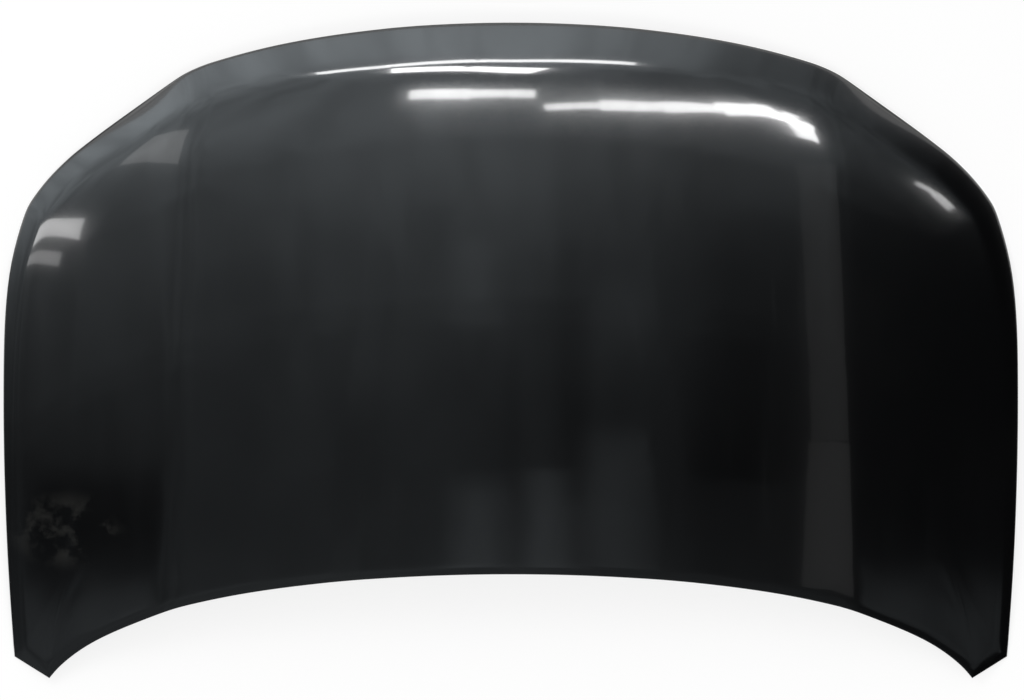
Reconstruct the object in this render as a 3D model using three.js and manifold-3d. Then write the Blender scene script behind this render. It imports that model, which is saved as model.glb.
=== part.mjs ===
// A car bonnet in black primer: a pressed outer skin, hemmed round a pressed inner frame that
// carries the hinge pads and the striker. It lies outer skin up, as it rests on a flat floor.
// Millimetres. X runs across the car, +Y points to the nose, +Z is up.
import * as THREE from 'three';
import { mergeVertices } from 'three/addons/utils/BufferGeometryUtils.js';
import Module from 'manifold-3d';

const wasm = await Module();
wasm.setup();

// Outline, seen from above. "Back" is a distance behind the foremost point of the nose.
const WIDTH = 1500;
const LENGTH = 969;
const REAR_EDGE_BACK = 813;
const SHOULDER_X = 495;
const SHOULDER_BACK = 83;
const SHOULDER_ANGLE = 36;
const WIDEST_BACK = 527;
const REAR_CORNER_INSET = 16;
const REAR_CORNER_BACK = 937;
const TIP_INSET = 68;
const HIP_X = 516;
const HIP_BACK = 872;
const HIP_ANGLE = 21;
const FRONT_CORNER_X = 655;

// Lengths of the handles that shape the curves between those points.
const NOSE_HANDLE = 253;
const SHOULDER_HANDLE_IN = 60;
const SHOULDER_HANDLE_OUT = 273;
const SIDE_HANDLE_FRONT = 292;
const SIDE_HANDLE_REAR = 101;
const REAR_CORNER_HANDLE = 147;
const REAR_CORNER_LEAN = 13;
const REAR_HANDLE = 253;
const HIP_HANDLE_IN = 76;
const HIP_HANDLE_OUT = 70;
const TIP_HANDLE_X = 32;
const TIP_HANDLE_Y = 48;

// Crown of the panel, and the crease along each side of it.
const CROSS_RADIUS = 3200;
const LONG_RADIUS = 2600;
const CROWN_BACK = 545;
const CREASE_REAR_X = 506;
const CREASE_REAR_BACK = 867;
const CREASE_FRONT_X = 468;
const CREASE_FRONT_BACK = 70;
const CREASE_STRIP = 55;
const CREASE_STRIP_SOFTNESS = 27.5;
const CREASE_RISE = 0.032;
const SHOULDER_FALL = 0.085;
const CREASE_SOFTNESS = 9;
const CREASE_SOFTNESS_NOSE = 150;
const CREASE_FADE_START_BACK = 230;
const CREASE_FADE_END_BACK = 90;

// The rolled edge: its width in plan, its slope, and the softness of the bend where it starts.
const NOSE_ROLL = { width: 61, fall: 0.75, bend: 16 };
const SHOULDER_ROLL = { width: 42, fall: 0.7, bend: 13 };
const SIDE_ROLL = { width: 14, fall: 0.55, bend: 8 };
const REAR_CORNER_ROLL = { width: 12, fall: 0.4, bend: 7 };
const REAR_ROLL = { width: 9, fall: 0.2, bend: 6 };

// Sheet metal.
const SKIN_THICKNESS = 0.8;
const FRAME_THICKNESS = 0.7;
const CLEARANCE = 0.3;
const HEM_CLEARANCE = 0.45;
const HEM_RETURN = 11;
const FLANGE_START = 3;
const FLANGE_END = 13;

// Inner frame: rails round the edge, two pairs of ribs along and one rib across.
const RAIL_WALL_END = 24;
const RAIL_INSET = 60;
const REAR_RAIL_EXTRA = 60;
const NOSE_RAIL_EXTRA = 70;
const SKIN_GRID_INSET = 100;
const WALL_RUN = 15;
const RIB_FLOOR = 28;
const RIB_REAR_X = 243;
const RIB_FRONT_X = 153;
const CROSS_RIB_FORWARD = 326;
const WEB_DEPTH = 4;
const RAIL_DEPTH = 20;
const NOSE_RAIL_DEPTH = 32;
const NOSE_RAIL_START_BACK = 255;
const NOSE_RAIL_END_BACK = 90;
const TIP_FLOOR_DEPTH = 5.5;
const TIP_TAPER_START = 20;
const TIP_TAPER_END = 190;

// Flanged cut-outs in the webs, as shares of the pocket that each lies in.
const CUTOUT_SHARE_ALONG = 0.5;
const CUTOUT_SHARE_ACROSS = 0.5;
const CUTOUT_SHARE_CENTRE = 0.34;
const CUTOUT_RING = 2;
const CUTOUT_LIP = 3;
const CUTOUT_LIP_BEND = 1;
const CUTOUT_LIP_DEPTH = 5;
const CUTOUT_SQUARENESS = 3.2;

// Mastic pads between the webs and the skin.
const MASTIC_DIAMETER = 26;
const MASTIC_SHARE_ALONG = 0.76;
const MASTIC_CLEARANCE = 0.5;
const MASTIC_SIDES = 12;

// Hinge pads and their weld nuts.
const HINGE_PAD_DEPTH = 27;
const HINGE_PAD_FORWARD = 12;
const HINGE_BOLT_SPACING = 38;
const HINGE_PLATE_X = 46;
const HINGE_PLATE_Y = 64;
const HINGE_PLATE_THICKNESS = 2;
const BOLT_DIAMETER = 8;
const BOLT_HOLE = 9;
const NUT_ACROSS_FLATS = 13;
const NUT_HEIGHT = 6.5;

// Latch pad and striker.
const LATCH_PAD_DEPTH = 32;
const LATCH_PAD_BEHIND_RAIL = 34;
const LATCH_PLATE_X = 150;
const LATCH_PLATE_Y = 56;
const LATCH_PLATE_THICKNESS = 1.5;
const STRIKER_PLATE_X = 86;
const STRIKER_PLATE_Y = 38;
const STRIKER_PLATE_THICKNESS = 3;
const STRIKER_BOLT_SPACING = 62;
const STRIKER_ROD = 8;
const STRIKER_SPAN = 32;
const STRIKER_DROP = 32;
const STRIKER_BEND = 9;
const BOLT_HEAD_HEIGHT = 5.3;
const BOLT_STICK_OUT = 2;
const PLATE_CORNER = 8;
const ROUND_SEGMENTS = 20;
const ROD_STEPS = 22;
const HOLE_CUTTER_LENGTH = 6;

const primer = { color: 0x17181a, roughness: 0.28, metalness: 0.1 };
const zinc = { color: 0xa9abad, roughness: 0.38, metalness: 0.9 };
const mastic = { color: 0x2b2b2d, roughness: 0.85, metalness: 0 };

const mix = (a, b, t) => a + (b - a) * t;
const clamp01 = (t) => Math.min(1, Math.max(0, t));
const smoothstep = (from, to, value) => {
  const t = clamp01((value - from) / (to - from));
  return t * t * (3 - 2 * t);
};
// Zero before the corner and a slope of one after it, with a round bend between.
const softRamp = (distance, softness) => 0.5 * (distance + Math.hypot(distance, softness));

// Outline

const yBehindNose = (back) => LENGTH / 2 - back;
const point = (x, back) => new THREE.Vector2(x, yBehindNose(back));
const direction = (degrees) => {
  const angle = THREE.MathUtils.degToRad(degrees);
  return new THREE.Vector2(Math.cos(angle), -Math.sin(angle));
};

const nose = point(0, 0);
const shoulder = point(SHOULDER_X, SHOULDER_BACK);
const widest = point(WIDTH / 2, WIDEST_BACK);
const rearCorner = point(WIDTH / 2 - REAR_CORNER_INSET, REAR_CORNER_BACK);
const tip = point(WIDTH / 2 - TIP_INSET, LENGTH);
const hip = point(HIP_X, HIP_BACK);
const rearCentre = point(0, REAR_EDGE_BACK);

function outlineSpans() {
  const shoulderRun = direction(SHOULDER_ANGLE);
  const hipRun = direction(HIP_ANGLE);
  const offset = (from, run, length) => from.clone().addScaledVector(run, length);
  const shifted = (from, x, y) => new THREE.Vector2(from.x + x, from.y + y);
  const bezier = (a, b, c, d) => new THREE.CubicBezierCurve(a, b, c, d);
  return {
    rear: [
      { curve: bezier(rearCentre, shifted(rearCentre, REAR_HANDLE, 0),
        offset(hip, hipRun, -HIP_HANDLE_IN), hip), from: REAR_ROLL, to: REAR_ROLL },
      { curve: bezier(hip, offset(hip, hipRun, HIP_HANDLE_OUT),
        shifted(tip, -TIP_HANDLE_X, TIP_HANDLE_Y), tip), from: REAR_ROLL, to: REAR_ROLL },
    ],
    chamfer: [{ curve: new THREE.LineCurve(tip, rearCorner), from: REAR_ROLL, to: REAR_CORNER_ROLL }],
    front: [
      { curve: bezier(rearCorner, shifted(rearCorner, REAR_CORNER_LEAN, REAR_CORNER_HANDLE),
        shifted(widest, 0, -SIDE_HANDLE_REAR), widest), from: REAR_CORNER_ROLL, to: SIDE_ROLL },
      { curve: bezier(widest, shifted(widest, 0, SIDE_HANDLE_FRONT),
        offset(shoulder, shoulderRun, SHOULDER_HANDLE_OUT), shoulder), from: SIDE_ROLL, to: SHOULDER_ROLL },
      { curve: bezier(shoulder, offset(shoulder, shoulderRun, -SHOULDER_HANDLE_IN),
        shifted(nose, NOSE_HANDLE, 0), nose), from: SHOULDER_ROLL, to: NOSE_ROLL },
    ],
  };
}

const SAMPLES_PER_CURVE = 48;

// A polyline of places on the outline, each with the rolled edge that it has there.
function sampled(spans) {
  const line = [];
  for (const { curve, from, to } of spans) {
    for (let i = line.length ? 1 : 0; i <= SAMPLES_PER_CURVE; i += 1) {
      const t = i / SAMPLES_PER_CURVE;
      const place = curve.getPoint(t);
      line.push({
        x: place.x,
        y: place.y,
        width: mix(from.width, to.width, t),
        fall: mix(from.fall, to.fall, t),
        bend: mix(from.bend, to.bend, t),
      });
    }
  }
  return line;
}

const between = (a, b, t) => {
  const place = {};
  for (const key of Object.keys(a)) place[key] = mix(a[key], b[key], t);
  return place;
};

function atX(line, x) {
  for (let i = 1; i < line.length; i += 1) {
    const a = line[i - 1];
    const b = line[i];
    if ((a.x - x) * (b.x - x) <= 0 && a.x !== b.x) return between(a, b, (x - a.x) / (b.x - a.x));
  }
  const last = line[line.length - 1];
  return Math.abs(line[0].x - x) < Math.abs(last.x - x) ? line[0] : last;
}

function atShare(line, share) {
  const lengths = [0];
  for (let i = 1; i < line.length; i += 1) {
    lengths.push(lengths[i - 1] + Math.hypot(line[i].x - line[i - 1].x, line[i].y - line[i - 1].y));
  }
  const wanted = share * lengths[lengths.length - 1];
  const i = Math.max(1, lengths.findIndex((length) => length >= wanted - 1e-9));
  return between(line[i - 1], line[i], (wanted - lengths[i - 1]) / (lengths[i] - lengths[i - 1]));
}

const spans = outlineSpans();
const rearLine = sampled(spans.rear);
const chamferLine = sampled(spans.chamfer);
const sideAndNose = sampled(spans.front);
const frontCorner = atX(sideAndNose.filter((place) => place.y > widest.y), FRONT_CORNER_X);
const sideLine = sideAndNose.filter((place) => place.y < frontCorner.y).concat([frontCorner]);
const noseLine = [frontCorner].concat(sideAndNose.filter((place) => place.y > frontCorner.y));
const wholeLine = rearLine.concat(chamferLine.slice(1), sideLine.slice(1), noseLine.slice(1));

// Distance inside the outline, with the rolled edge at the nearest place on it.
function nearestEdge(x, y) {
  const px = Math.abs(x);
  let best = null;
  for (let i = 1; i < wholeLine.length; i += 1) {
    const a = wholeLine[i - 1];
    const b = wholeLine[i];
    const dx = b.x - a.x;
    const dy = b.y - a.y;
    const t = clamp01(((px - a.x) * dx + (y - a.y) * dy) / (dx * dx + dy * dy));
    const distance = Math.hypot(px - a.x - dx * t, y - a.y - dy * t);
    if (!best || distance < best.distance - 1e-9) {
      const inside = dx * (y - a.y) - dy * (px - a.x) >= 0 ? 1 : -1;
      best = { distance, inside, a, b, t };
    }
  }
  return { ...between(best.a, best.b, best.t), distance: best.distance * best.inside };
}

// Surface of the skin

const creaseSlope = (CREASE_FRONT_X - CREASE_REAR_X) / (CREASE_REAR_BACK - CREASE_FRONT_BACK);
const creaseX = (y) => CREASE_REAR_X + creaseSlope * (y - yBehindNose(CREASE_REAR_BACK));

function crownHeight(x, y) {
  const fromCrown = y - yBehindNose(CROWN_BACK);
  const crown = -(x * x) / (2 * CROSS_RADIUS) - (fromCrown * fromCrown) / (2 * LONG_RADIUS);
  const toNose = smoothstep(yBehindNose(CREASE_FADE_START_BACK), yBehindNose(CREASE_FADE_END_BACK), y);
  const softness = mix(CREASE_SOFTNESS, CREASE_SOFTNESS_NOSE, toNose * toNose);
  const outside = Math.abs(x) - creaseX(y);
  const rise = CREASE_RISE * (1 - toNose);
  const strip = softRamp(outside + CREASE_STRIP, CREASE_STRIP_SOFTNESS) - softRamp(outside, softness);
  return crown + rise * strip - SHOULDER_FALL * softRamp(outside, softness);
}

// The panel is levelled, so that the front rounds and the rear tips lie at one height.
const level = { slope: 0, lift: 0 };
const levelled = (y) => level.lift - level.slope * y;

function skinHeight(x, y) {
  const edge = nearestEdge(x, y);
  const roll = edge.fall * softRamp(edge.width - edge.distance, edge.bend);
  return crownHeight(x, y) - roll + levelled(y);
}

function skinNormal(x, y) {
  const step = 0.4;
  const dx = (skinHeight(x + step, y) - skinHeight(x - step, y)) / (2 * step);
  const dy = (skinHeight(x, y + step) - skinHeight(x, y - step)) / (2 * step);
  return new THREE.Vector3(x === 0 ? 0 : -dx, -dy, 1).normalize();
}

// A point of the skin's outer face, moved along the face's normal.
function onSkin(x, y, rise = 0) {
  const base = new THREE.Vector3(x, y, skinHeight(x, y));
  return rise === 0 ? base : base.addScaledVector(skinNormal(x, y), rise);
}

// Stations round half of the outline, where the columns and rows of the panel meet its edge

const numbered = (names) => Object.fromEntries(names.map((name, index) => [name, index]));
const COLUMN = numbered(['centre', 'padInner', 'padOuter', 'ribIn', 'ribFloorIn', 'ribFloorOut', 'ribOut',
  'midInner', 'mid', 'midOuter', 'creaseIn', 'creaseFloorIn', 'crease', 'creaseFloorOut', 'creaseOut',
  'hingeIn', 'hingeMid', 'hingeOut', 'sideWall', 'side']);
const ROW = numbered(['rear', 'rearHalf', 'rearFloor', 'rearWall', 'rearInner', 'rearMid', 'rearOuter',
  'crossIn', 'crossFloorIn', 'crossFloorOut', 'crossOut', 'frontInner', 'frontMid', 'frontOuter',
  'frontWall', 'frontFloor', 'frontHalf', 'front']);
const quarters = (from, to) => [0.25, 0.5, 0.75].map((share) => mix(from, to, share));

// Places of the columns across half of a front or rear curve, from the centre line outward.
function columnPlaces(line, ribX) {
  const crease = line.reduce((near, place) => (
    Math.abs(place.x - creaseX(place.y)) < Math.abs(near.x - creaseX(near.y)) ? place : near));
  const end = line.reduce((far, place) => (place.x > far.x ? place : far));
  const half = RIB_FLOOR / 2;
  const top = half + WALL_RUN;
  const wallTop = end.x - WALL_RUN;
  const columns = [
    0, (ribX - top) / 3, (2 * (ribX - top)) / 3, ribX - top, ribX - half, ribX + half, ribX + top,
    ...quarters(ribX + top, crease.x - top),
    crease.x - top, crease.x - half, crease.x, crease.x + half, crease.x + top,
    ...quarters(crease.x + top, wallTop),
    wallTop, end.x,
  ];
  return columns.map((x) => (x === end.x ? end : { ...atX(line, x), x }));
}

// Shares of the way from the rear curve to the front curve at which the rows lie.
function rowShares() {
  const length = REAR_EDGE_BACK - 2 * RAIL_INSET;
  const half = RIB_FLOOR / 2;
  const top = half + WALL_RUN;
  const rearWall = REAR_RAIL_EXTRA + WALL_RUN;
  const noseWall = length - NOSE_RAIL_EXTRA - WALL_RUN;
  const rows = [
    0, REAR_RAIL_EXTRA / 2, REAR_RAIL_EXTRA, rearWall, ...quarters(rearWall, CROSS_RIB_FORWARD - top),
    CROSS_RIB_FORWARD - top, CROSS_RIB_FORWARD - half, CROSS_RIB_FORWARD + half, CROSS_RIB_FORWARD + top,
    ...quarters(CROSS_RIB_FORWARD + top, noseWall),
    noseWall, length - NOSE_RAIL_EXTRA, length - NOSE_RAIL_EXTRA / 2, length,
  ];
  return rows.map((row) => row / length);
}
const shares = rowShares();

// Half a boundary, in order: along the rear to the tip, up the side, and in along the nose.
function boundary(rear, side, front) {
  const rearPlaces = columnPlaces(rear, RIB_REAR_X);
  const frontPlaces = columnPlaces(front, RIB_FRONT_X);
  const sidePlaces = shares.slice(1, -1).map((share) => side(share));
  return { rearPlaces, sidePlaces, frontPlaces };
}
const walk = ({ rearPlaces, sidePlaces, frontPlaces }) => (
  [...rearPlaces, ...sidePlaces, ...frontPlaces.slice().reverse()]);

const outlineBoundary = boundary(
  rearLine,
  (share) => {
    const corner = shares[ROW.rearFloor];
    if (share < corner) return atShare(chamferLine, share / corner);
    return atShare(sideLine, (share - corner) / (1 - corner));
  },
  noseLine,
);

// The vector by which a station moves inward for each millimetre of distance from both its edges.
function mitres(stations) {
  const mirrored = (place) => ({ x: -place.x, y: place.y });
  return stations.map((place, k) => {
    const before = k === 0 ? mirrored(stations[1]) : stations[k - 1];
    const after = k === stations.length - 1 ? mirrored(stations[k - 1]) : stations[k + 1];
    const inward = (a, b) => {
      const length = Math.hypot(b.x - a.x, b.y - a.y);
      return new THREE.Vector2(-(b.y - a.y) / length, (b.x - a.x) / length);
    };
    const first = inward(before, place);
    const second = inward(place, after);
    return first.clone().add(second).divideScalar(1 + first.dot(second));
  });
}
const stations = walk(outlineBoundary);
const stationMitres = mitres(stations);

// A moved point counts while it keeps this share of its distance from the outline.
const INSET_KEPT = 0.995;

// The outline moved inward by a distance, as a rear, a side and a front curve.
function insetBoundary(inset) {
  const moved = (line) => line.map((place, i) => {
    const a = line[Math.max(0, i - 1)];
    const b = line[Math.min(line.length - 1, i + 1)];
    const length = Math.hypot(b.x - a.x, b.y - a.y);
    return { x: place.x - ((b.y - a.y) / length) * inset, y: place.y + ((b.x - a.x) / length) * inset };
  }).filter((place) => place.x >= -1e-9 && nearestEdge(place.x, place.y).distance > inset * INSET_KEPT);
  const rear = moved(rearLine);
  const side = moved(sideLine);
  const front = moved(noseLine);
  const meet = (a, b) => ({ x: (a.x + b.x) / 2, y: (a.y + b.y) / 2 });
  const rearMeet = meet(rear[rear.length - 1], side[0]);
  const frontMeet = meet(side[side.length - 1], front[0]);
  rear.push(rearMeet);
  front.unshift(frontMeet);
  const sideWhole = [rearMeet, ...side, frontMeet];
  return boundary(rear, (share) => atShare(sideWhole, share), front);
}

// Flat map of half the panel: columns and rows inside the inset loop, and a spoke from each
// station of the outline to the loop.
function panelMap(inset) {
  const loop = insetBoundary(inset);
  const { rearPlaces, sidePlaces, frontPlaces } = loop;
  const last = rearPlaces.length - 1;
  const rearEnd = rearPlaces[last];
  const frontEnd = frontPlaces[last];
  const sideCurve = [rearEnd, ...sidePlaces, frontEnd];
  const grid = rearPlaces.map((rear, i) => shares.map((share, j) => {
    const front = frontPlaces[i];
    const crease = rearPlaces[COLUMN.crease].x;
    const pull = Math.max(0, (rear.x - crease) / (rearEnd.x - crease));
    const x = mix(rear.x, front.x, share) + pull * (sideCurve[j].x - mix(rearEnd.x, frontEnd.x, share));
    const y = mix(rear.y, front.y, share) + pull * (sideCurve[j].y - mix(rearEnd.y, frontEnd.y, share));
    return { x: i === 0 ? 0 : x, y };
  }));
  const loopStations = walk(loop);
  const spoke = (k, distance) => {
    const t = distance / inset;
    const out = stations[k];
    const run = stationMitres[k];
    const along = distance * (1 - t);
    const x = out.x + run.x * along + (loopStations[k].x - out.x) * t * t;
    const y = out.y + run.y * along + (loopStations[k].y - out.y) * t * t;
    return { x: out.x === 0 ? 0 : x, y };
  };
  return { grid, spoke };
}

// Indices of the grid's border, in the order of the stations.
const border = [];
for (let i = 0; i <= COLUMN.side; i += 1) border.push([i, 0]);
for (let j = 1; j < ROW.front; j += 1) border.push([COLUMN.side, j]);
for (let i = COLUMN.side; i >= 0; i -= 1) border.push([i, ROW.front]);

// Collects faces for the right half and mirrors each to the left.
function faceList() {
  const numbers = [];
  const triangle = (a, b, c) => {
    for (const p of [a, b, c]) numbers.push(p.x, p.y, p.z);
    for (const p of [a, c, b]) numbers.push(-p.x, p.y, p.z);
  };
  return {
    numbers,
    quad(a, b, c, d) {
      triangle(a, b, c);
      triangle(a, c, d);
    },
    // A band of quads between two rows of points that lie side by side.
    strip(rowA, rowB, closed = false) {
      const count = closed ? rowA.length : rowA.length - 1;
      for (let k = 0; k < count; k += 1) {
        const next = (k + 1) % rowA.length;
        this.quad(rowA[k], rowA[next], rowB[next], rowB[k]);
      }
    },
  };
}

function geometryOf(numbers) {
  const geometry = new THREE.BufferGeometry();
  geometry.setAttribute('position', new THREE.Float32BufferAttribute(numbers, 3));
  geometry.computeVertexNormals();
  return geometry;
}

// Outer skin

const HEM_RADIUS = (2 * SKIN_THICKNESS + FRAME_THICKNESS + 2 * HEM_CLEARANCE) / 2;
const skinMap = panelMap(SKIN_GRID_INSET);
const FOLD_ANGLES = [90, 45, 0, -45, -90];
const INNER_FOLD_ANGLES = [-90, 0, 90];

// How far from the rolled edge's corner its bend begins and how far its tight part reaches, in bends.
const BEND_RUN_IN = 1.3;
const BEND_CORE = 0.45;

// Where the hem's fold starts at a station: its place, and the vectors out of and off the sheet.
function foldAt(k) {
  const near = skinMap.spoke(k, HEM_RADIUS);
  const run = stationMitres[k];
  const normalNear = skinNormal(near.x, near.y);
  const lean = -(normalNear.x * run.x + normalNear.y * run.y) / run.lengthSq();
  const start = HEM_RADIUS * (1 - clamp01(lean));
  const place = skinMap.spoke(k, start);
  const inner = skinMap.spoke(k, start + 1);
  const normal = skinNormal(place.x, place.y);
  const out = onSkin(place.x, place.y).sub(onSkin(inner.x, inner.y));
  out.divideScalar(Math.hypot(1, out.z));
  return { start, place: onSkin(place.x, place.y), normal, out };
}

function foldPoint(fold, radius, degrees) {
  const angle = THREE.MathUtils.degToRad(degrees);
  return fold.place.clone()
    .addScaledVector(fold.normal, -HEM_RADIUS + radius * Math.sin(angle))
    .addScaledVector(fold.out, radius * Math.cos(angle));
}

const foldRow = (folds, radius, degrees) => folds.map((fold) => foldPoint(fold, radius, degrees));

// The lowest points of the hem settle the level, at the front rounds and at the rear tips.
function levelPanel() {
  const low = stations.map((place, k) => ({ y: place.y, z: foldPoint(foldAt(k), HEM_RADIUS, -90).z }));
  const lowest = (ends) => ends.reduce((a, b) => (b.z < a.z ? b : a));
  const frontLow = lowest(low.filter((place) => place.y > widest.y));
  const rearLow = lowest(low.filter((place) => place.y < hip.y));
  level.slope = (frontLow.z - rearLow.z) / (frontLow.y - rearLow.y);
  const all = stations.flatMap((place, k) => [-90, -45].map((a) => foldPoint(foldAt(k), HEM_RADIUS, a).z));
  level.lift = -Math.min(...all);
}
levelPanel();

function outerSkin() {
  const faces = faceList();
  const { grid, spoke } = skinMap;
  const folds = stations.map((place, k) => foldAt(k));
  const rings = [
    (place) => mix(place.width + BEND_RUN_IN * place.bend, SKIN_GRID_INSET, 0.5),
    (place) => place.width + BEND_RUN_IN * place.bend,
    (place) => place.width + BEND_CORE * place.bend,
    (place) => place.width - BEND_CORE * place.bend,
    (place, fold) => mix(fold.start, place.width - BEND_CORE * place.bend, 0.5),
  ];
  const ringRows = (rise) => rings.map((distance) => stations.map((place, k) => {
    const at = spoke(k, distance(place, folds[k]));
    return onSkin(at.x, at.y, rise);
  }));
  const gridPoints = (rise) => grid.map((column) => column.map((at) => onSkin(at.x, at.y, rise)));
  const top = gridPoints(0);
  const under = gridPoints(-SKIN_THICKNESS);
  for (let i = 0; i < COLUMN.side; i += 1) {
    for (let j = 0; j < ROW.front; j += 1) {
      faces.quad(top[i][j], top[i + 1][j], top[i + 1][j + 1], top[i][j + 1]);
      faces.quad(under[i][j], under[i][j + 1], under[i + 1][j + 1], under[i + 1][j]);
    }
  }
  const innerRadius = HEM_RADIUS - SKIN_THICKNESS;
  const returnRow = (rise) => stations.map((place, k) => {
    const at = spoke(k, HEM_RETURN);
    return onSkin(at.x, at.y, rise);
  });
  const rows = [
    border.map(([i, j]) => top[i][j]),
    ...ringRows(0),
    ...FOLD_ANGLES.map((degrees) => foldRow(folds, HEM_RADIUS, degrees)),
    returnRow(-2 * HEM_RADIUS),
    returnRow(-2 * HEM_RADIUS + SKIN_THICKNESS),
    ...INNER_FOLD_ANGLES.map((degrees) => foldRow(folds, innerRadius, degrees)),
    ...ringRows(-SKIN_THICKNESS).reverse(),
    border.map(([i, j]) => under[i][j]),
  ];
  for (let r = 1; r < rows.length; r += 1) faces.strip(rows[r], rows[r - 1]);
  return geometryOf(faces.numbers);
}

// Inner frame

const frameMap = panelMap(RAIL_INSET);

// How far a rail or rib floor lies under the crown, less towards the rear tips.
function floorHeight(x, y) {
  const toNose = smoothstep(yBehindNose(NOSE_RAIL_START_BACK), yBehindNose(NOSE_RAIL_END_BACK), y);
  const depth = mix(RAIL_DEPTH, NOSE_RAIL_DEPTH, toNose);
  const taper = smoothstep(TIP_TAPER_START, TIP_TAPER_END, Math.hypot(Math.abs(x) - tip.x, y - tip.y));
  const full = crownHeight(x, y) + levelled(y) - depth;
  return Math.min(mix(skinHeight(x, y) - TIP_FLOOR_DEPTH, full, taper), webHeight(x, y));
}
const webHeight = (x, y) => skinHeight(x, y) - WEB_DEPTH;

// The centre of each flat pad, on the frame's upper face; the hinge pad is the right-hand one.
const pads = (() => {
  const hinge = frameMap.grid[COLUMN.hingeMid][ROW.rear];
  const hingeY = hinge.y + HINGE_PAD_FORWARD;
  const latchY = frameMap.grid[0][ROW.front].y - LATCH_PAD_BEHIND_RAIL;
  const under = (x, y, depth) => new THREE.Vector3(x, y, crownHeight(x, y) + levelled(y) - depth);
  return { hinge: under(hinge.x, hingeY, HINGE_PAD_DEPTH), latch: under(0, latchY, LATCH_PAD_DEPTH) };
})();

// The height that a pad gives a point of the floor, or null where there is none.
function padHeight(i, nearRear, nearFront) {
  if (nearRear && i >= COLUMN.hingeIn && i <= COLUMN.hingeOut) return pads.hinge.z;
  if (nearFront && i <= COLUMN.ribIn) return pads.latch.z;
  return null;
}

const isBetween = (value, from, to) => value >= from && value <= to;

function onFloor(i, j) {
  return isBetween(i, COLUMN.ribFloorIn, COLUMN.ribFloorOut)
    || isBetween(i, COLUMN.creaseFloorIn, COLUMN.creaseFloorOut)
    || i === COLUMN.side
    || j <= ROW.rearFloor || j >= ROW.frontFloor
    || isBetween(j, ROW.crossFloorIn, ROW.crossFloorOut);
}

// The pockets between rails and ribs, each with a flanged cut-out in its web.
const pocketColumns = [
  { from: -COLUMN.ribIn, to: COLUMN.ribIn, across: CUTOUT_SHARE_CENTRE },
  { from: COLUMN.ribOut, to: COLUMN.creaseIn, across: CUTOUT_SHARE_ACROSS },
  { from: COLUMN.creaseOut, to: COLUMN.sideWall, across: CUTOUT_SHARE_ACROSS },
];
const pocketRows = [
  { from: ROW.rearWall, to: ROW.crossIn },
  { from: ROW.crossOut, to: ROW.frontWall },
];
const pockets = pocketColumns.flatMap((column) => pocketRows.map((row) => ({ column, row })));

// The place at a fractional column and row of the frame's map.
function mapPlace(i, j) {
  const side = Math.abs(i);
  const i0 = Math.min(COLUMN.side - 1, Math.floor(side));
  const j0 = Math.min(ROW.front - 1, Math.floor(j));
  const { grid } = frameMap;
  const low = between(grid[i0][j0], grid[i0 + 1][j0], side - i0);
  const high = between(grid[i0][j0 + 1], grid[i0 + 1][j0 + 1], side - i0);
  const place = between(low, high, j - j0);
  return { x: i < 0 ? -place.x : place.x, y: place.y };
}

// A place in a pocket: across and along run from -1 to 1.
function pocketPlace({ column, row }, across, along) {
  const i = mix(column.from, column.to, (across + 1) / 2);
  const j = mix(row.from, row.to, (along + 1) / 2);
  return mapPlace(i, j);
}

// The pocket's border as columns and rows, once round, or half round on the centre line.
function pocketBorder({ column, row }) {
  const centred = column.from < 0;
  const left = centred ? 0 : column.from;
  const path = [];
  for (let i = left; i < column.to; i += 1) path.push([i, row.from]);
  for (let j = row.from; j < row.to; j += 1) path.push([column.to, j]);
  for (let i = column.to; i > left; i -= 1) path.push([i, row.to]);
  if (centred) path.push([0, row.to]);
  else for (let j = row.to; j > row.from; j -= 1) path.push([left, j]);
  return { path, closed: !centred };
}

function cutoutRow(pocket, path, shrink, drop) {
  const { column, row } = pocket;
  return path.map(([i, j]) => {
    const across = (2 * (i - column.from)) / (column.to - column.from) - 1;
    const along = (2 * (j - row.from)) / (row.to - row.from) - 1;
    const power = CUTOUT_SQUARENESS;
    const round = (Math.abs(across) ** power + Math.abs(along) ** power) ** (1 / power);
    const edge = pocketPlace(pocket, (across / round) * column.across, (along / round) * CUTOUT_SHARE_ALONG);
    const centre = pocketPlace(pocket, 0, 0);
    const reach = Math.hypot(edge.x - centre.x, edge.y - centre.y);
    const keep = 1 - shrink / reach;
    const x = i === 0 && column.from < 0 ? 0 : mix(centre.x, edge.x, keep);
    const y = mix(centre.y, edge.y, keep);
    return new THREE.Vector3(x, y, webHeight(x, y) - drop);
  });
}

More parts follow.
